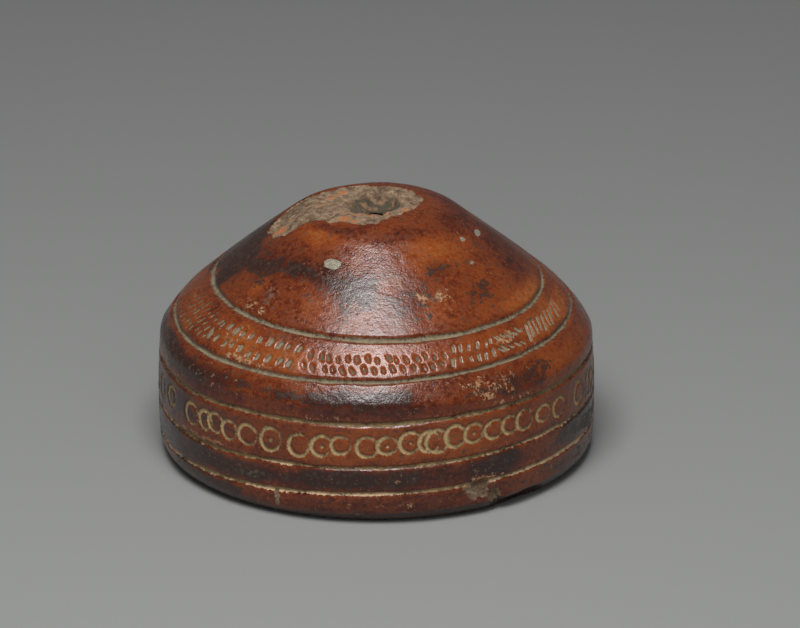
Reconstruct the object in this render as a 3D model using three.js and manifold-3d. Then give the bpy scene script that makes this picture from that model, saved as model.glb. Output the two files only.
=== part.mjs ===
// A clay spindle whorl: one lump of fired, slipped and burnished clay with a hole
// through it for the spindle. A low drum stands on a flat underside and carries a
// dome. Five turned grooves part the bands of ornament, a chain of stamped circles
// runs round the drum, and two rows of pricked pits run round the shoulder.
// Units are millimetres and +Z is up. The origin is the centre of the underside, and
// the better preserved side faces -Y.

import * as THREE from 'three';
import { mergeVertices } from 'three/addons/utils/BufferGeometryUtils.js';
import Module from 'manifold-3d';

// ---- Driving dimensions ----------------------------------------------------------

const DIAMETER = 36;
const HEIGHT = 21.3;
const FACETS = 60;                        // flats round the body

const FOOT = { flatRadius: 16.4, radius: 17.9, height: 1.3 };
const WALL = { bulge: 0.5 * DIAMETER + 0.15, bulgeHeight: 5.9 };
const SHOULDER = { radius: 17.8, height: 10.2, turnRadius: 16.7, turnHeight: 12.0 };
const DOME = { radius: 15.2, height: 13.4, turnRadius: 11.7, turnHeight: 16.5 };
const CROWN = { radius: 7.3, height: 19.9, turnRadius: 5.5 };
const MOUTH = { radius: 2.5, rim: 1.4, throat: 2.15, depth: 2.2 };
const LOWER_MOUTH = { radius: 2.5, depth: 0.6 };

// The grooves wander as they go round. Each has its mean height, and how much higher
// it runs on the +X side and on the +Y side.
const GROOVES = [
  { height: 2.4, right: 0.52, back: -0.38, width: 0.34, depth: 0.22 },
  { height: 5.05, right: 0.53, back: 0, width: 0.42, depth: 0.28 },
  { height: 8.9, right: 0.34, back: 0.16, width: 0.46, depth: 0.3 },
  { height: 12.15, right: 0.36, back: 0.24, width: 0.6, depth: 0.32 },
  { height: 14.8, right: -0.16, back: 0.35, width: 0.64, depth: 0.32 },
];
const FOOT_LEAN = { height: FOOT.height, right: 0.6, back: 0 };

// Stamped circles: a reed's end pressed into the drum, in runs with a few gaps.
const STAMP = { radius: 0.88, line: 0.2, depth: 0.2, sides: 8 };
const STAMP_HEIGHT = 7.0;
const STAMP_RUNS = [
  { from: -56, to: -28, count: 6 },
  { from: -20, to: -9, count: 3 },
  { from: -2, to: 57, count: 12 },
  { from: 67, to: 291, count: 16 },
];

// Pricked pits: two staggered rows on the shoulder.
const PIT = { width: 0.5, height: 0.8, depth: 0.22 };
const PIT_ROWS = [12.95, 13.85];
const PIT_STEP = 7.5;

// Old damage: a flake lost beside the mouth, and a chip out of the lower edge. Each is
// cut by a slab's flat side, tipped towards the top of the surface.
const FLAKE = { angle: -100, height: 20.3, depth: 0.46, size: [10, 8, 3], tip: 3, turn: 8 };
const CHIP = { angle: 29, height: 1.3, depth: 0.4, size: [2.6, 1.9, 3], tip: -14, turn: -20 };

// ---- The turned surface ----------------------------------------------------------

// The outline from the edge of the flat underside up over the dome to the mouth.
function outerCurve() {
  const curve = new THREE.Path();
  curve.moveTo(FOOT.flatRadius, 0);
  curve.quadraticCurveTo(FOOT.radius - 0.15, 0, FOOT.radius, FOOT.height);
  curve.quadraticCurveTo(WALL.bulge, WALL.bulgeHeight, SHOULDER.radius, SHOULDER.height);
  curve.quadraticCurveTo(SHOULDER.turnRadius, SHOULDER.turnHeight, DOME.radius, DOME.height);
  curve.quadraticCurveTo(DOME.turnRadius, DOME.turnHeight, CROWN.radius, CROWN.height);
  curve.quadraticCurveTo(CROWN.turnRadius, HEIGHT, MOUTH.radius, HEIGHT);
  return curve;
}

const CURVE_STEPS = 40;
const skinPoints = outerCurve().getPoints(CURVE_STEPS);

// The radius of the undamaged surface at a height, and the way it faces there.
function skinAt(height) {
  let i = skinPoints.findIndex((p) => p.y > height);
  if (i < 1) i = i === 0 ? 1 : skinPoints.length - 1;
  const [low, high] = [skinPoints[i - 1], skinPoints[i]];
  const part = THREE.MathUtils.clamp((height - low.y) / (high.y - low.y || 1), 0, 1);
  const along = high.clone().sub(low).normalize();
  return {
    radius: THREE.MathUtils.lerp(low.x, high.x, part),
    outward: new THREE.Vector2(along.y, -along.x),
  };
}

// How far the surface's own lines are shifted up at a height and an angle round it.
const LEANS = [
  { height: 0, right: 0, back: 0 },
  FOOT_LEAN,
  ...GROOVES,
  { height: HEIGHT, right: 0, back: 0 },
];

function leanAt(height, angle) {
  const i = Math.max(1, LEANS.findIndex((l) => l.height >= height));
  const [low, high] = [LEANS[i - 1], LEANS[i]];
  const part = (height - low.height) / (high.height - low.height);
  const right = THREE.MathUtils.lerp(low.right, high.right, part);
  const back = THREE.MathUtils.lerp(low.back, high.back, part);
  return right * Math.sin(angle) - back * Math.cos(angle);
}

// A groove's three profile points: its lower lip, its bottom and its upper lip.
function groovePoints({ height, width, depth }) {
  const { radius, outward } = skinAt(height);
  const along = new THREE.Vector2(-outward.y, outward.x);
  const middle = new THREE.Vector2(radius, height);
  return [
    middle.clone().addScaledVector(along, -width / 2),
    middle.clone().addScaledVector(outward, -depth),
    middle.clone().addScaledVector(along, width / 2),
  ];
}

// Heights of the plain profile points on the surface between the grooves.
const PLAIN_HEIGHTS = [0.3, FOOT.height, 6.9, SHOULDER.height, 11.1, 13.4, 16.5, 18.2, 19.9, 20.8];

function outerPoints() {
  const plain = PLAIN_HEIGHTS.map((height) => ({
    height,
    points: [new THREE.Vector2(skinAt(height).radius, height)],
  }));
  const grooves = GROOVES.map((groove) => ({
    height: groove.height,
    points: groovePoints(groove),
  }));
  const rows = [...plain, ...grooves].sort((a, b) => a.height - b.height);
  return [
    new THREE.Vector2(FOOT.flatRadius, 0),
    ...rows.flatMap((row) => row.points),
    new THREE.Vector2(MOUTH.radius + MOUTH.rim, HEIGHT - 0.05),
    new THREE.Vector2(MOUTH.radius, HEIGHT),
  ];
}

function holePoints() {
  return [
    new THREE.Vector2(MOUTH.throat, HEIGHT - MOUTH.depth),
    new THREE.Vector2(MOUTH.throat, LOWER_MOUTH.depth),
    new THREE.Vector2(LOWER_MOUTH.radius, 0),
  ];
}

// The turned body, then its outer surface shifted along itself by the grooves' lean.
function turnedBody() {
  const outer = outerPoints();
  const profile = [...outer, ...holePoints(), outer[0]];
  const body = new THREE.LatheGeometry(profile, FACETS);
  body.rotateX(Math.PI / 2);
  const place = body.attributes.position;
  for (let i = 0; i < place.count; i += 1) {
    const { x: radius, y: height } = profile[i % profile.length];
    const isOuter = i % profile.length < outer.length;
    if (isOuter && height > 0 && height < HEIGHT - 0.1) {
      const angle = (Math.floor(i / profile.length) / FACETS) * 2 * Math.PI;
      const shifted = height + leanAt(height, angle);
      const moved = radius + skinAt(shifted).radius - skinAt(height).radius;
      place.setXYZ(i, moved * Math.sin(angle), -moved * Math.cos(angle), shifted);
    }
  }
  return body;
}

// ---- Cuts ------------------------------------------------------------------------

// Sets a shape made facing +Z onto the surface, sunk by depth, at degrees from -Y
// towards +X. Its own Y then runs up the surface.
function onSurface(shape, degrees, height, depth) {
  const angle = THREE.MathUtils.degToRad(degrees);
  const shifted = height + leanAt(height, angle);
  const { radius, outward } = skinAt(shifted);
  const out = new THREE.Vector3(0, -outward.x, outward.y);
  const up = new THREE.Vector3(0, outward.y, outward.x);
  const across = new THREE.Vector3().crossVectors(up, out);
  const place = new THREE.Vector3(0, -radius, shifted).addScaledVector(out, -depth);
  shape.applyMatrix4(new THREE.Matrix4().makeBasis(across, up, out));
  shape.translate(place.x, place.y, place.z);
  shape.rotateZ(angle);
  return shape;
}

function stamps() {
  return STAMP_RUNS.flatMap(({ from, to, count }) =>
    Array.from({ length: count }, (_, i) => {
      const ring = new THREE.TorusGeometry(STAMP.radius, STAMP.line, 4, STAMP.sides);
      const degrees = THREE.MathUtils.lerp(from, to, i / (count - 1));
      return onSurface(ring, degrees, STAMP_HEIGHT, STAMP.depth - STAMP.line);
    }),
  );
}

function pits() {
  return PIT_ROWS.flatMap((height, row) =>
    Array.from({ length: 360 / PIT_STEP }, (_, i) => {
      const pit = new THREE.OctahedronGeometry(1);
      pit.scale(PIT.width / 2, PIT.height / 2, PIT.depth);
      return onSurface(pit, (i + row / 2) * PIT_STEP, height, 0);
    }),
  );
}

function breaks() {
  return [FLAKE, CHIP].map(({ angle, height, depth, size, tip, turn }) => {
    const slab = new THREE.BoxGeometry(...size);
    slab.translate(0, 0, size[2] / 2);
    slab.rotateX(THREE.MathUtils.degToRad(tip));
    slab.rotateZ(THREE.MathUtils.degToRad(turn));
    return onSurface(slab, angle, height, depth);
  });
}

// ---- Solids ----------------------------------------------------------------------

const wasm = await Module();
wasm.setup();

function toSolid(geometry) {
  const bare = geometry.clone();
  bare.deleteAttribute('normal');
  bare.deleteAttribute('uv');
  const merged = mergeVertices(bare);
  return new wasm.Manifold(
    new wasm.Mesh({
      numProp: 3,
      vertProperties: new Float32Array(merged.attributes.position.array),
      triVerts: new Uint32Array(merged.index.array),
    }),
  );
}

function toGeometry(solid) {
  const { vertProperties, triVerts } = solid.getMesh();
  const geometry = new THREE.BufferGeometry();
  geometry.setAttribute('position', new THREE.BufferAttribute(vertProperties, 3));
  geometry.setIndex(new THREE.BufferAttribute(triVerts, 1));
  geometry.computeVertexNormals();
  return geometry;
}

// Overlapping stamps are joined first, so that each crossing is cut once.
const cuts = [...stamps(), ...pits(), ...breaks()].map(toSolid);
const allCuts = cuts.reduce((joined, cut) => joined.add(cut));
const whorlSolid = toSolid(turnedBody()).subtract(allCuts);

// ---- The object ------------------------------------------------------------------

const burnishedClay = new THREE.MeshStandardMaterial({
  name: 'burnished_clay',
  color: 0x7d3a1c,
  roughness: 0.42,
  metalness: 0,
});

const whorl = new THREE.Mesh(toGeometry(whorlSolid), burnishedClay);
whorl.name = 'whorl';

const spindleWhorl = new THREE.Group();
spindleWhorl.add(whorl);

export default spindleWhorl;
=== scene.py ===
import math

import bpy
import numpy as np
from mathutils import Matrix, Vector, noise


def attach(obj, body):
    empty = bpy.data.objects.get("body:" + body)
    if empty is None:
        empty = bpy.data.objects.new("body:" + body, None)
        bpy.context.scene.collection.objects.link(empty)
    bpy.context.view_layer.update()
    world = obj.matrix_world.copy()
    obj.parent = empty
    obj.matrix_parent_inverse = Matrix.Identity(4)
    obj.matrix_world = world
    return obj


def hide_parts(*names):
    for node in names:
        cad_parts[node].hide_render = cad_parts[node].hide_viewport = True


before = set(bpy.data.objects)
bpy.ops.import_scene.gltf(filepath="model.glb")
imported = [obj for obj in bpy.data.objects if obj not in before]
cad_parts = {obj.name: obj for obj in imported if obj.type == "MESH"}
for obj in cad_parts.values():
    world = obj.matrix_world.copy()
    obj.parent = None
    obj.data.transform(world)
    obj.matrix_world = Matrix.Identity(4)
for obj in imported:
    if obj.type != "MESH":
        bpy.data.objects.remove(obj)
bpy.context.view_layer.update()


# ---- The lump of clay ------------------------------------------------------------------
# The whorl is one lump of fired clay, turned about its hole: a drum on a flat underside
# with a dome on it. Its outline is swept round the hole, with closer rows and columns
# where the potter's marks are. The whorl's own sizes are in millimetres.

MM = 0.001
FLAT, FOOT, SHOULDER = (16.4, 0.0), (17.9, 1.3), (17.8, 10.2)
DOME, CROWN, RIM = (15.2, 13.4), (7.3, 19.9), (3.1, 21.28)
DISH, CLOGGED, THROAT = (1.7, 20.65), (0.6, 20.4), (2.15, 18.6)
LOWER_THROAT, LOWER_MOUTH = (2.15, 0.6), (2.5, 0.0)


def bend(start, turn, end):
    """Points on a curve that leaves start towards turn and reaches end from turn."""
    t = np.linspace(0, 1, 61)[:, None]
    start, turn, end = np.array([start, turn, end])
    return (1 - t) ** 2 * start + 2 * t * (1 - t) * turn + t**2 * end


outside = np.vstack([
    bend(FLAT, (17.5, 0.15), FOOT),
    bend(FOOT, (18.15, 5.9), SHOULDER)[1:],
    bend(SHOULDER, (16.7, 12.0), DOME)[1:],
    bend(DOME, (11.7, 16.5), CROWN)[1:],
    bend(CROWN, (5.5, 21.26), RIM)[1:],
])
# Earth clogs the mouth: a shallow dish of it, with a small opening down to the hole.
skin = np.vstack([
    outside,
    bend(RIM, (2.35, 21.2), DISH)[1:],
    bend(DISH, (1.3, 20.4), CLOGGED)[1:],
])
walked = np.r_[0, np.cumsum(np.hypot(*np.diff(skin, axis=0).T))]
facing = np.gradient(skin, axis=0)[:, ::-1] * (1, -1)
facing /= np.hypot(*facing.T)[:, None]


def climb(height):
    """How far along the outline, from the underside's edge, the skin is at a height."""
    return np.interp(height, outside[:, 1], walked[: len(outside)])


def skin_at(along):
    """The skin's radius and height, and the way it faces, at a place on the outline."""
    parts = (skin[:, 0], skin[:, 1], facing[:, 0], facing[:, 1])
    return [np.interp(along, walked, part) for part in parts]


# Each stretch of the outline: the height it ends at, and how close its rows are.
STRETCHES = [(2.0, 0.26), (2.8, 0.1), (4.6, 0.34), (9.4, 0.125), (11.75, 0.32),
             (15.3, 0.14), (18.9, 0.4)]
rows = [0.0]
for height, step in STRETCHES:
    count = round((climb(height) - rows[-1]) / step)
    rows.extend(np.linspace(rows[-1], climb(height), count + 1)[1:])
rows.extend(np.linspace(rows[-1], walked[-1], 36)[1:])

outer = [(r, h) for r, h in zip(*skin_at(np.array(rows))[:2])]
inner = [(CLOGGED[0], CLOGGED[1] - 0.5), (1.1, CLOGGED[1] - 0.9)]
inner += [(THROAT[0], h) for h in np.linspace(THROAT[1], LOWER_THROAT[1], 6)]
inner += [(r, 0.0) for r in np.linspace(LOWER_MOUTH[0], FLAT[0], 8)[:-1]]
profile = np.array(outer + inner)

clay = bpy.data.meshes.new("clay_whorl")
clay.from_pydata(
    [(r * MM, 0, h * MM) for r, h in profile],
    [(i, (i + 1) % len(profile)) for i in range(len(profile))],
    [],
)
# A row on the skin keeps its place on the outline; a row of the hole or underside has -1.
clay.attributes.new("along", "FLOAT", "POINT").data.foreach_set(
    "value", rows + [-1.0] * len(inner)
)
whorl = bpy.data.objects.new("clay_whorl", clay)
bpy.context.scene.collection.objects.link(whorl)

bpy.ops.object.select_all(action="DESELECT")
whorl.select_set(True)
bpy.context.view_layer.objects.active = whorl
bpy.ops.object.mode_set(mode="EDIT")
bpy.ops.mesh.select_all(action="SELECT")
bpy.ops.mesh.spin(steps=300, angle=2 * math.pi, center=(0, 0, 0), axis=(0, 0, 1))
bpy.ops.mesh.select_all(action="SELECT")
bpy.ops.mesh.remove_doubles(threshold=1e-6)
bpy.ops.mesh.normals_make_consistent(inside=False)
bpy.ops.object.mode_set(mode="OBJECT")


def read(mesh, items, name, width):
    """A number or vector of every vertex or edge, as an array."""
    layer = getattr(mesh, items)
    values = np.zeros(len(layer) * width)
    layer.foreach_get(name, values)
    return values.reshape(-1, width) if width > 1 else values


def read_along(mesh):
    values = np.zeros(len(mesh.vertices))
    mesh.attributes["along"].data.foreach_get("value", values)
    return values


def split_rings(low, high, front_only):
    """Splits the edges that run round the whorl between two heights."""
    mesh = whorl.data
    along, place = read_along(mesh), read(mesh, "vertices", "co", 3)
    ends = read(mesh, "edges", "vertices", 2).astype(int)
    level = np.abs(along[ends[:, 0]] - along[ends[:, 1]]) < 1e-4
    middle = place[ends].mean(axis=1)
    chosen = level & (along[ends[:, 0]] > climb(low)) & (along[ends[:, 0]] < climb(high))
    if front_only:
        chosen &= middle[:, 1] < 3 * MM
    for items in ("vertices", "polygons"):
        layer = getattr(mesh, items)
        layer.foreach_set("select", np.zeros(len(layer), bool))
    mesh.edges.foreach_set("select", chosen)
    bpy.context.tool_settings.mesh_select_mode = (False, True, False)
    bpy.ops.object.mode_set(mode="EDIT")
    bpy.ops.mesh.subdivide(number_cuts=1)
    bpy.ops.object.mode_set(mode="OBJECT")


for low, high in ((4.6, 9.4), (11.75, 15.3)):
    split_rings(low, high, front_only=False)
    split_rings(low, high, front_only=True)

place = read(clay, "vertices", "co", 3) / MM
along = read_along(clay)
on_skin = along >= 0
turn = np.degrees(np.arctan2(place[:, 0], -place[:, 1]))  # 0 is the front, 90 the right
radius = np.hypot(place[:, 0], place[:, 1])


def grain(size, seed):
    """Smooth noise between about -1 and 1, with lumps of a size in millimetres."""
    points = place / size + (17.3 * seed, 5.1 * seed, -9.7 * seed)
    return np.array([noise.noise(p) for p in points.tolist()]) * 1.6


slow, lumpy, fine = grain(7.0, 1), grain(2.2, 2), grain(0.7, 3)
wobble_round, wobble_up = grain(1.6, 4), grain(1.6, 5)


# ---- Turned grooves --------------------------------------------------------------------
# Five grooves were cut with a point into the leather-hard clay while the whorl turned.
# They wander, so each has how much higher it runs on its right and at its back.

GROOVES = [
    dict(height=2.4, right=0.52, back=-0.38, width=0.4, depth=0.2, cream=1.0),
    dict(height=5.05, right=0.53, back=0.0, width=0.44, depth=0.24, cream=0.75),
    dict(height=8.9, right=0.34, back=0.16, width=0.48, depth=0.26, cream=0.35),
    dict(height=12.15, right=0.36, back=0.24, width=0.54, depth=0.28, cream=0.15),
    dict(height=14.8, right=-0.16, back=0.35, width=0.6, depth=0.28, cream=0.15),
]
FOOT_LEAN, LEVEL_TOP = 0.6, 21.2
LEAN_HEIGHTS = [0.0, FOOT[1]] + [g["height"] for g in GROOVES] + [LEVEL_TOP]
LEAN_RIGHT = [0.0, FOOT_LEAN] + [g["right"] for g in GROOVES] + [0.0]
LEAN_BACK = [0.0, 0.0] + [g["back"] for g in GROOVES] + [0.0]

cut = np.zeros(len(place))      # how deep the tool went, in millimetres
soil = np.zeros(len(place))     # how much soil lies there, 0 to 1
cream = np.zeros(len(place))    # how pale the soil is, with a painted highlight along the grooves' lower lips, 0 to 1


def smooth(value, low, high):
    """0 below low, 1 above high and a soft step between them."""
    t = np.clip((value - low) / (high - low), 0, 1)
    return t * t * (3 - 2 * t)


def press(shape, depth, hold=1.0):
    """Presses a mark of a shape from 0 to 1 into the clay. It holds soil as far as hold."""
    np.maximum(cut, shape * depth, out=cut)
    np.maximum(soil, shape * hold, out=soil)


for groove in GROOVES:
    middle = climb(groove["height"]) + 0.05 * slow + 0.035 * wobble_up
    half = 0.5 * groove["width"] * (1 + 0.22 * wobble_round)
    across = (along - middle) / half
    depth = groove["depth"] * (1 + 0.2 * lumpy)
    press(np.clip(1 - np.abs(across) ** 2.4, 0, 1) * on_skin, depth, 0.8 + 0.25 * lumpy)
    cut -= 0.02 * np.exp(-((np.abs(across) - 1.35) / 0.3) ** 2) * on_skin
    # Each groove's lower lip is painted pale: partly pale soil, partly a painted highlight where
    # the lip catches the light.
    lower_lip = np.exp(-((across + 0.5) / 0.6) ** 2) * on_skin
    cream = np.maximum(cream, groove["cream"] * lower_lip * (0.85 + 0.4 * slow))


# ---- Stamped circles -------------------------------------------------------------------
# A cut reed was pressed round the drum between two grooves, in runs that touch or
# overlap. The potter's hand rocked, so each circle is deeper on its left side.

STAMP_HEIGHT, STAMP_RADIUS, STAMP_LINE, STAMP_DEPTH = 7.0, 0.84, 0.5, 0.13
STAMP_PLACES = [-56, -50, -46, -41, -35, -28, -20, -14, -9, -2, 3, 9, 14, 16, 21, 26, 32,
                37, 42, 49, 56, 67]
BACK_STAMPS = list(np.linspace(78, 292, 25))
DOTTED = {-28, -14, 3, 9, 26}
REACH, FAR_OFF = 3.0, 99.0     # no mark is wider than the reach
random = np.random.default_rng(12)


def offsets(degrees, height, jitter=0.06):
    """Each vertex's distance to the right of and above a mark, over the skin."""
    round_ = (turn - degrees + 180) % 360 - 180
    right = np.radians(round_) * radius + jitter * wobble_round
    up = along - climb(height) + jitter * wobble_up
    near = on_skin & (np.abs(right) < REACH) & (np.abs(up) < REACH)
    return np.where(near, right, FAR_OFF), np.where(near, up, FAR_OFF)


for degrees in STAMP_PLACES + BACK_STAMPS:
    rise, size, flat, rock = random.uniform((-0.12, 0.92, 0.92, -0.6), (0.12, 1.08, 1.1, 0.6))
    right, up = offsets(degrees, STAMP_HEIGHT + rise + 0.1 * math.sin(degrees / 15))
    ring = np.hypot(right, up / flat)
    line = (ring - STAMP_RADIUS * size) / (0.5 * STAMP_LINE)
    lean = np.cos(np.arctan2(up, right) - math.pi - rock)
    shape = np.clip(1 - line**2, 0, 1) * np.clip(0.78 + 0.3 * lean + 0.15 * fine, 0, 1)
    press(shape, STAMP_DEPTH)
    if degrees in DOTTED:
        dot = np.hypot(right - 0.05, up + 0.05)
        press(np.clip(1 - (dot / 0.24) ** 2, 0, 1) * 0.8, STAMP_DEPTH)


# ---- Pricked pits and dashes -----------------------------------------------------------
# A point was jabbed into the shoulder in rows. The jabs change as the potter worked
# round: short slanting dashes, then loose blobs, neat drops, and long zigzag strokes.

PIT_RUNS = [
    dict(first=-90, last=-60, step=2.7, rows=(12.8, 13.35, 13.9), long=0.5, wide=0.24, tip=28),
    dict(first=-58, last=-24, step=3.6, rows=(13.05, 13.9), long=0.3, wide=0.46, tip=20),
    dict(first=-21, last=21, step=2.9, rows=(12.95, 13.6), long=0.34, wide=0.46, tip=-20,
         hold=0.5),     # the neat drops in front have lost most of their soil
    dict(first=23, last=38, step=2.7, rows=(12.95, 13.75), long=0.5, wide=0.28, tip=8),
    dict(first=40, last=51, step=2.2, rows=(13.0, 13.75), long=0.5, wide=0.34, tip=-35),
    dict(first=53, last=79, step=2.6, rows=(13.4,), long=1.5, wide=0.32, tip=24),
    dict(first=82, last=96, step=3.0, rows=(13.0, 13.8), long=0.6, wide=0.28, tip=24),
    dict(first=101, last=262, step=4.6, rows=(13.0, 13.85), long=0.6, wide=0.3, tip=22),
]
PIT_DEPTH = 0.16


def jab(degrees, height, long, wide, tip, depth, hold=1.0):
    """A short stroke with round ends, tipped from upright towards the right."""
    right, up = offsets(degrees, height)
    lean = math.radians(tip)
    aside = right * math.cos(lean) - up * math.sin(lean)
    forward = right * math.sin(lean) + up * math.cos(lean)
    gap = np.hypot(aside, np.maximum(np.abs(forward) - 0.5 * long, 0))
    gap = gap * (1 + 0.25 * fine)
    press(np.clip(1 - (gap / (0.5 * wide)) ** 2, 0, 1), depth, hold)


for run in PIT_RUNS:
    for level, height in enumerate(run["rows"]):
        for degrees in np.arange(run["first"], run["last"], run["step"]):
            shift, rise, size, swing = random.uniform((-0.5, -0.1, 0.8, -10), (0.5, 0.1, 1.2, 10))
            jab(degrees + shift + 0.5 * level * run["step"], height + rise, run["long"] * size,
                run["wide"] * size, run["tip"] + swing, PIT_DEPTH, run.get("hold", 1.0))

# A row of small dots runs just above the lower edge, where the clay has not worn away.
DOT = dict(height=1.65, long=0.12, wide=0.24, tip=0, depth=0.06, hold=0.75)
for degrees in np.r_[np.arange(1, 20, 2.3), np.arange(47, 62, 1.9)]:
    jab(degrees, **DOT)


# ---- Breaks and chips ------------------------------------------------------------------
# The skin is lost round the upper mouth and in a flake beside it, and a chip is gone
# from the lower edge. There the coarse buff clay shows.

BREAK_EDGE = [(-180, 3.6), (-130, 5.2), (-100, 8.4), (-90, 8.9), (-69, 8.4), (-64, 6.6),
              (-57, 5.7), (-32, 5.1), (-22, 5.25), (6, 4.4), (32, 3.8), (61, 3.45),
              (100, 3.8), (180, 3.6)]
edge_turns, edge_radii = np.array(BREAK_EDGE).T

edge = np.interp(turn, edge_turns, edge_radii) + 0.18 * lumpy + 0.16 * fine
inside = np.where(on_skin & (along > climb(17.5)), edge - radius, -9.0)
bare = smooth(inside, -0.08, 0.16)
flake = bare * smooth(turn, -150, -125) * (1 - smooth(turn, -66, -50))
cut += bare * (0.1 + 0.1 * lumpy + 0.09 * fine) + 0.14 * flake
mouth = smooth(3.9 - radius, 0, 1.2) * on_skin * (along > climb(20.0))
cut += mouth * (0.08 + 0.16 * lumpy + 0.1 * fine)
dirt = smooth(2.6 - radius, 0, 1.0) * on_skin * (along > climb(20.0))


def chip(degrees, height, wide, tall, depth, rough):
    """Knocks a rough hollow out of the skin, and bares the clay in it."""
    right, up = offsets(degrees, height, jitter=0.12)
    gap = np.hypot(right / wide, up / tall) + rough * fine
    hollow = 1 - smooth(gap, 0.55, 1.0)
    np.maximum(cut, hollow * depth * (1 + 0.5 * fine), out=cut)
    np.maximum(bare, hollow, out=bare)


chip(27.5, 1.9, 1.3, 0.75, 0.22, 0.35)
chip(32.5, 1.1, 0.8, 0.7, 0.42, 0.25)
chip(-5.0, 0.85, 0.35, 0.3, 0.2, 0.1)
chip(-26.0, 1.7, 0.3, 0.8, 0.06, 0.4)

# The foot's edge is worn away right of the chip, so more of the shadow under it shows.
WORN = dict(degrees=41, height=0.35, wide=3.2, tall=0.75, depth=0.6)
right, up = offsets(WORN["degrees"], WORN["height"], jitter=0.1)
worn = 1 - smooth(np.hypot(right / WORN["wide"], up / WORN["tall"]), 0.4, 1.0)
cut += WORN["depth"] * worn

# Everything above is laid out on even rings. Here the skin is shifted along itself by the
# grooves' lean, pressed in by the cuts, and given the hand-made surface's slight waves.
radians = np.radians(turn)
level = skin_at(along)[1]
lean = (np.interp(level, LEAN_HEIGHTS, LEAN_RIGHT) * np.sin(radians)
        - np.interp(level, LEAN_HEIGHTS, LEAN_BACK) * np.cos(radians))
outside_end = walked[len(outside) - 1]
shifted = np.where(along < outside_end, climb(level + lean), along)
new_radius, new_height, out, upward = skin_at(shifted)
wave = (0.05 * slow + 0.022 * lumpy + 0.008 * fine) * smooth(new_height, 0.0, 1.0)
depth = cut + wave
new_radius, new_height = new_radius - depth * out, new_height - depth * upward
rough_hole = 0.05 * lumpy * (radius < 3) * (place[:, 2] > 0.3)
new_radius = np.where(on_skin, new_radius, radius + rough_hole)
new_height = np.where(on_skin, new_height, place[:, 2])
new_height = np.maximum(new_height, 0)
new_place = np.stack(
    [new_radius * np.sin(radians), -new_radius * np.cos(radians), new_height], axis=1
)
clay.vertices.foreach_set("co", (new_place * MM).ravel())
clay.update()
bpy.ops.object.shade_smooth()
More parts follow.
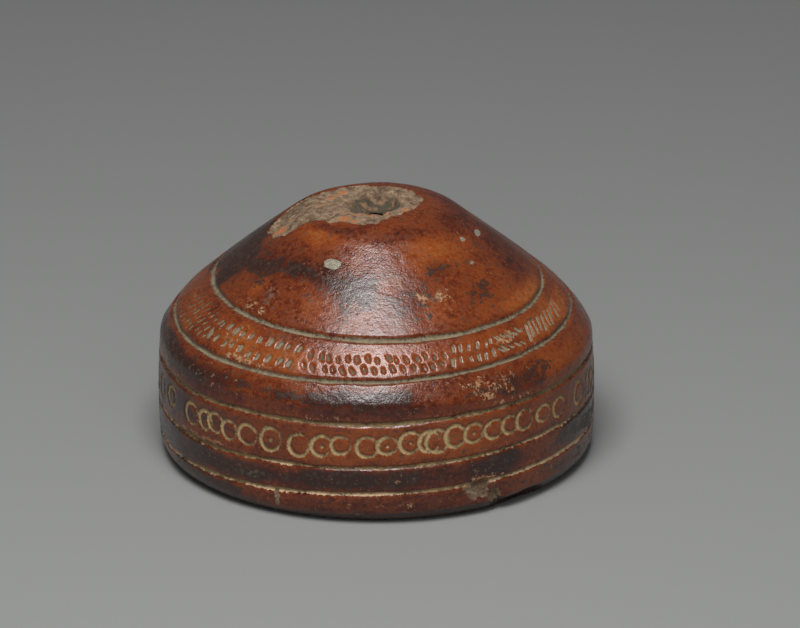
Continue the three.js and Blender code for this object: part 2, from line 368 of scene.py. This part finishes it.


# ---- Fire clouds, wear, soil and painted shade under the foot --------------------------
# The kiln's smoke darkened the slip in clouds, long handling wore it down to orange, and
# the ground left a grey-green skin and crumbs of earth, in soft and ragged patches.

# The fire clouds' field also paints the underside black: painted shade under the foot.
# kind: (degrees round, height, half-width in degrees, half-height over the skin, strength)
PATCHES = {
    "fire": [
        (-92, 17.2, 30, 3.2, 1.1), (-60, 17.6, 20, 2.0, 0.8), (-42, 18.0, 14, 1.4, 0.65),
        (-8, 17.4, 20, 2.6, 0.62), (14, 16.8, 14, 1.8, 0.5), (34, 18.4, 10, 1.0, 0.5),
        (45, 16.7, 8, 1.0, 0.55), (80, 18.0, 14, 1.6, 0.2), (-78, 10.7, 30, 1.3, 1.0),
        (-45, 11.0, 22, 0.9, 0.55), (-8, 10.9, 24, 0.9, 0.7), (36, 10.6, 20, 1.2, 0.55),
        (-78, 6.9, 24, 2.4, 0.8), (-46, 6.9, 16, 1.6, 0.4), (-84, 3.4, 34, 2.2, 1.0),
        (-42, 3.7, 22, 1.2, 0.75), (-10, 3.7, 22, 1.1, 0.6), (33, 3.9, 14, 1.1, 0.7),
        (66, 3.8, 22, 1.3, 0.9), (-55, 1.4, 26, 1.0, 0.65), (62, 1.5, 26, 0.9, 0.5),
        (150, 17.0, 40, 3.0, 0.7), (-140, 9.0, 30, 4.0, 0.7), (140, 4.0, 40, 2.5, 0.7),
        (-165, 16.5, 20, 3.0, 0.5), (110, 10.5, 20, 1.5, 0.6),
    ],
    "rust": [
        (-42, 20.1, 24, 1.2, 0.9), (-42, 13.3, 24, 1.7, 0.8), (-80, 13.4, 20, 1.6, 0.6),
        (0, 13.4, 26, 1.6, 0.5), (35, 13.3, 18, 1.6, 0.75), (68, 13.4, 22, 1.7, 0.95),
        (70, 15.4, 22, 0.7, 1.0), (38, 19.4, 26, 1.8, 0.7), (56, 16.8, 14, 1.8, 0.5),
        (24, 16.3, 8, 1.6, 0.6), (-25, 16.0, 8, 1.6, 0.5), (-54, 17.0, 4, 2.0, 0.9),
        (70, 10.8, 18, 1.3, 0.6), (14, 7.0, 44, 1.9, 0.6), (25, 10.4, 8, 0.8, 0.5),
        (170, 13.4, 80, 1.6, 0.6), (-120, 15.5, 20, 1.5, 0.5), (130, 7.0, 30, 1.6, 0.5),
    ],
    "deep": [
        (88, 17.4, 26, 3.0, 0.45), (20, 20.5, 26, 0.8, 0.6), (-32, 18.3, 20, 1.2, 0.7),
        (-45, 9.9, 26, 0.8, 0.5), (0, 9.8, 30, 0.6, 0.7), (0, 3.6, 50, 1.2, 0.7),
        (-36, 20.6, 22, 0.4, 0.8), (80, 20.4, 50, 1.4, 0.45), (2, 1.4, 32, 0.9, 0.35),
        (-165, 6.0, 40, 2.0, 0.6), (160, 19.0, 40, 2.0, 0.6),
    ],
    "ash": [
        (-94, 5.0, 26, 6.0, 0.7), (-80, 11.5, 12, 2.0, 0.4), (88, 6.4, 22, 3.2, 0.7),
        (54, 3.7, 10, 0.9, 0.7), (74, 3.6, 16, 1.2, 0.8), (-34, 3.6, 6, 0.7, 0.7),
        (-45, 16.4, 6, 1.4, 0.65), (-105, 16.0, 14, 2.0, 0.5), (78, 1.4, 30, 0.9, 0.6),
        (-80, 1.4, 24, 0.9, 0.6), (-150, 3.0, 40, 2.0, 0.6), (160, 9.5, 30, 1.2, 0.5),
        (-60, 10.9, 8, 0.8, 0.4),
    ],
    "crumb": [
        (24, 17.0, 12, 0.9, 0.75), (32, 10.8, 12, 1.3, 0.75), (30, 11.3, 3, 0.5, 1.0),
        (-45, 10.6, 24, 1.4, 0.45), (-48, 13.6, 18, 1.3, 0.6), (44, 13.6, 6, 0.9, 0.9),
        (-40, 12.5, 16, 0.45, 0.8), (46, 12.3, 12, 0.45, 0.7), (-48, 5.2, 26, 0.5, 0.75),
        (36, 5.2, 28, 0.45, 0.6), (28, 2.2, 7, 1.2, 0.8), (-12, 9.3, 14, 0.7, 0.5),
        (6, 3.8, 6, 0.6, 0.6), (56, 18.4, 22, 1.6, 0.4), (-75, 9.6, 20, 0.8, 0.6),
        (0, 1.5, 22, 0.5, 0.45), (-52, 15.4, 12, 0.7, 0.6), (36, 9.3, 16, 0.5, 0.6),
    ],
    "fleck": [
        (-23.5, 18.85, 6.2, 0.5, 1.0), (79, 19.1, 5, 0.35, 0.9), (61, 19.4, 3, 0.3, 0.8),
        (53, 18.25, 3.6, 0.28, 0.7), (-160, 17.5, 4, 0.4, 0.8),
    ],
}
RAGGED = {"fire": 0.5, "rust": 0.45, "deep": 0.5, "ash": 0.5, "crumb": 0.4, "fleck": 0.1}

for kind, patches in PATCHES.items():
    field = np.zeros(len(place))
    for degrees, height, half_turn, half_up, strength in patches:
        round_ = ((turn - degrees + 180) % 360 - 180) / half_turn
        gap = np.hypot(round_, (along - climb(height)) / half_up)
        gap += RAGGED[kind] * (0.5 * slow + 0.6 * lumpy + 0.3 * fine)
        field = np.maximum(field, strength * (1 - smooth(gap, 0.3, 1.4)) * on_skin)
    if kind == "fire":      # painted shade: the underside and the foot's lowest curve are painted black, for the shadow under the foot
        field = np.maximum(field, 2.0 * (1 - smooth(level, 0.65, 1.0)))
    clay.attributes.new(kind, "FLOAT", "POINT").data.foreach_set("value", field)
for name, values in dict(soil=soil, cream=cream, bare=bare, dirt=dirt).items():
    clay.attributes.new(name, "FLOAT", "POINT").data.foreach_set("value", values)


# ---- Slip, soil and bare clay ----------------------------------------------------------
# An iron-red slip was brushed on and burnished with a pebble before firing. Pale soil sits
# in the cuts, and the buff clay of the body shows in the breaks.

finish = bpy.data.materials.new("burnished_clay")
finish.use_nodes = True
finish.node_tree.nodes.clear()


class Tint:
    """A value or colour that varies over the clay. Sums and products of it add nodes."""

    def __init__(self, socket):
        self.socket = socket

    @staticmethod
    def node(kind, settings=None, sockets=None, out=0):
        made = finish.node_tree.nodes.new(kind)
        for name, value in (settings or {}).items():
            if name == "stops":
                ramp = made.color_ramp.elements
                while len(ramp) < len(value):
                    ramp.new(0.5)
                for stop, (at, shade) in zip(ramp, value):
                    stop.position = at
                    stop.color = (*shade, 1)
            else:
                setattr(made, name, value)
        for name, value in (sockets or {}).items():
            if isinstance(value, Tint):
                finish.node_tree.links.new(value.socket, made.inputs[name])
            else:
                made.inputs[name].default_value = value
        return Tint(made.outputs[out] if made.outputs else None)

    def math(self, operation, other, swap=False):
        pair = (other, self) if swap else (self, other)
        return Tint.node("ShaderNodeMath", {"operation": operation}, {0: pair[0], 1: pair[1]})

    def __add__(self, other):
        return self.math("ADD", other)

    def __sub__(self, other):
        return self.math("SUBTRACT", other)

    def __rsub__(self, other):
        return self.math("SUBTRACT", other, swap=True)

    def __mul__(self, other):
        return self.math("MULTIPLY", other)

    __radd__, __rmul__ = __add__, __mul__

    def step(self, low, high):
        """0 below low, 1 above high and a soft step between them."""
        settings = {"interpolation_type": "SMOOTHSTEP"}
        return Tint.node("ShaderNodeMapRange", settings, {0: self, 1: low, 2: high})

    def ramp(self, *stops):
        """A colour from a row of (value, colour) stops."""
        return Tint.node("ShaderNodeValToRGB", {"stops": stops}, {0: self})

    def cover(self, under, over):
        """The colour under, covered by the colour over where this value is 1."""
        sockets = {0: self, 6: colour(under), 7: colour(over)}
        return Tint.node("ShaderNodeMix", {"data_type": "RGBA"}, sockets, out=2)


def colour(value):
    return value if isinstance(value, Tint) else (*value, 1)


def mark(name):
    """What was painted on the mesh under a name, from 0 to about 1."""
    return Tint.node("ShaderNodeAttribute", {"attribute_name": name}, out=2)


spot = Tint.node("ShaderNodeTexCoord", out=3)
brushed = Tint.node("ShaderNodeMapping", {}, {"Vector": spot, "Scale": (1, 1, 2.4)})


def mottle(size, detail, where=spot):
    """Mottling with lumps of a size in millimetres, mostly between -0.5 and 0.5."""
    sockets = {"Vector": where, "Scale": 1 / (size * MM), "Detail": detail, "Roughness": 0.6}
    noise_ = Tint.node("ShaderNodeTexNoise", {"noise_dimensions": "3D"}, sockets)
    return (noise_ - 0.5) * 3.4


clouds, streaks = mottle(4.0, 3), mottle(1.3, 4, brushed)
freckles, grit = mottle(0.38, 4), mottle(0.15, 2)
patchy = mottle(0.8, 3)

warmth = 0.42 + 0.42 * mark("rust") - 0.4 * mark("deep") + 0.18 * clouds
warmth = warmth + 0.26 * streaks + 0.3 * freckles + 0.2 * grit
slip = warmth.ramp(
    (0.0, (0.035, 0.009, 0.005)),
    (0.25, (0.09, 0.016, 0.005)),
    (0.5, (0.165, 0.033, 0.0065)),
    (0.75, (0.225, 0.05, 0.0085)),
    (1.0, (0.3, 0.092, 0.018)),
)

# Smoke clouds darken the slip to soot, and the same mask paints the underside black as painted
# shade.
smoke_and_underside_shade = (mark("fire") + 0.36 * streaks + 0.42 * freckles + 0.25 * grit).step(0.36, 0.56)
soot_and_underside_shade = (freckles + 0.6 * streaks).ramp((0.1, (0.02, 0.0115, 0.0095)), (0.6, (0.05, 0.026, 0.02)))
slip = (0.88 * smoke_and_underside_shade).cover(slip, soot_and_underside_shade)

ground = (mark("ash") + 0.35 * streaks + 0.4 * freckles).step(0.45, 0.8)
ground_colour = freckles.ramp((0.0, (0.05, 0.042, 0.026)), (0.35, (0.12, 0.1, 0.07)))
slip = (0.75 * ground).cover(slip, ground_colour)

crumbs = (mark("crumb") + 0.4 * patchy + 0.45 * freckles + 0.3 * grit).step(0.7, 0.84)
crumb_colour = (patchy + grit).ramp((0.0, (0.24, 0.09, 0.025)), (0.5, (0.4, 0.24, 0.12)))
slip = (0.85 * crumbs).cover(slip, crumb_colour)
dust = (grit + 0.8 * freckles).step(0.62, 0.78)
slip = (0.55 * dust).cover(slip, (0.34, 0.2, 0.1))
specks = (streaks + 0.9 * freckles + 0.7 * grit).step(0.42, 0.6)
slip = (0.7 * specks).cover(slip, (0.035, 0.017, 0.013))

fleck = (mark("fleck") + 0.12 * freckles).step(0.4, 0.55)
slip = fleck.cover(slip, grit.ramp((0.0, (0.2, 0.18, 0.13)), (0.4, (0.34, 0.31, 0.25))))

low_down = Tint.node("ShaderNodeSeparateXYZ", {}, {0: spot}, out=2).step(11.0 * MM, 8.0 * MM)
laid = mark("soil")
filled = (laid + 0.28 * freckles + 0.26 * grit + 0.15 * streaks).step(0.3, 0.5)
thick = (laid + 0.35 * freckles + 0.25 * grit).step(0.3, 0.95)
soils = low_down.cover(
    thick.ramp((0.0, (0.06, 0.042, 0.022)), (1.0, (0.21, 0.165, 0.1))),
    thick.ramp((0.0, (0.12, 0.07, 0.03)), (1.0, (0.4, 0.27, 0.125))),
)
# Pale soil and a painted highlight along the grooves' lower lips, paler on the lower grooves.
pale_fill_and_highlight_mask = (mark("cream") + 0.3 * freckles + 0.25 * streaks).step(0.42, 0.7)
soils = pale_fill_and_highlight_mask.cover(soils, low_down.cover((0.36, 0.28, 0.17), (0.68, 0.48, 0.29)))
slip = filled.cover(slip, soils)

broken = (mark("bare") + 0.25 * freckles + 0.15 * grit).step(0.38, 0.56)
core = (0.4 + 0.5 * patchy + 0.5 * freckles + 0.3 * grit + 0.3 * clouds).ramp(
    (0.0, (0.09, 0.045, 0.022)),
    (0.35, (0.17, 0.11, 0.065)),
    (0.7, (0.27, 0.185, 0.11)),
    (1.0, (0.4, 0.32, 0.23)),
)
core = (clouds + 0.8 * patchy + 0.4 * freckles).step(0.32, 0.55).cover(core, (0.33, 0.12, 0.04))
earthy = (mark("dirt") + 0.5 * patchy + 0.4 * freckles).step(0.35, 0.75)
core = earthy.cover(core, patchy.ramp((0.0, (0.055, 0.04, 0.022)), (0.5, (0.2, 0.115, 0.055))))
surface = broken.cover(slip, core)

matt = (filled + broken + 0.6 * ground + 0.5 * crumbs).step(0.0, 1.0)
roughness = 0.25 + 0.12 * freckles + 0.08 * streaks + 0.55 * matt
relief = 0.4 * grit + 0.9 * freckles + 0.5 * patchy + 1.2 * matt * (0.5 * grit + freckles)
bump = Tint.node(
    "ShaderNodeBump",
    {},
    {"Strength": 1.0, "Distance": 0.013 * MM, "Height": relief + 1.5 * crumbs},
)
shader = Tint.node(
    "ShaderNodeBsdfPrincipled",
    {},
    {"Base Color": surface, "Roughness": roughness, "Normal": bump, "IOR": 1.55},
)
Tint.node("ShaderNodeOutputMaterial", {}, {"Surface": shader})
clay.materials.append(finish)

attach(whorl, "root")
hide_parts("whorl")


# ---- Table, light and camera -----------------------------------------------------------
# A plain light-grey table in a dim white room. A soft box hangs above the front of the whorl, and a
# wide reflector fills its walls without showing in the gloss.

TABLE_SIZE, TABLE_GREY, TABLE_ROUGHNESS = 4, (0.24, 0.245, 0.24, 1), 0.9
ROOM_GLOW = 0.1
bpy.ops.mesh.primitive_plane_add(size=TABLE_SIZE, location=(0, 0, 0))
table = bpy.context.active_object
table.name = "table"
paper = bpy.data.materials.new("pale_paper")
paper.use_nodes = True
paper.node_tree.nodes["Principled BSDF"].inputs["Base Color"].default_value = TABLE_GREY
paper.node_tree.nodes["Principled BSDF"].inputs["Roughness"].default_value = TABLE_ROUGHNESS
table.data.materials.append(paper)

CENTRE = Vector((0, 0, 0.0099))


def aim(item, target):
    item.rotation_euler = (target - item.location).to_track_quat("-Z", "Y").to_euler()


def lamp(name, width, height, energy, place, glossy):
    """A rectangular soft light that faces the whorl."""
    light = bpy.data.objects.new(name, bpy.data.lights.new(name, "AREA"))
    light.data.shape = "RECTANGLE"
    light.data.size, light.data.size_y = width, height
    light.data.energy = energy
    light.location = CENTRE + Vector(place)
    light.visible_glossy = glossy
    aim(light, CENTRE)
    bpy.context.scene.collection.objects.link(light)


lamp("softbox", 0.13, 0.15, 0.82, (-0.015, -0.12, 0.24), glossy=True)
lamp("reflector", 0.5, 0.35, 0.8, (0.05, -0.52, 0.3), glossy=False)

room = bpy.data.worlds.new("room")
room.use_nodes = True
room.node_tree.nodes["Background"].inputs["Color"].default_value = (1, 1, 1, 1)
room.node_tree.nodes["Background"].inputs["Strength"].default_value = ROOM_GLOW
bpy.context.scene.world = room
bpy.context.scene.view_settings.view_transform = "Standard"

ELEVATION, DISTANCE = math.radians(21.08), 0.4856
camera = bpy.data.objects.new("camera", bpy.data.cameras.new("camera"))
camera.data.sensor_width = 36
camera.data.lens = 265.5
target = CENTRE + Vector((1.95, 0, 1.41)) * MM
camera.location = target + DISTANCE * Vector((0, -math.cos(ELEVATION), math.sin(ELEVATION)))
camera.data.clip_start = 0.01
aim(camera, target)
bpy.context.scene.collection.objects.link(camera)
bpy.context.scene.camera = camera
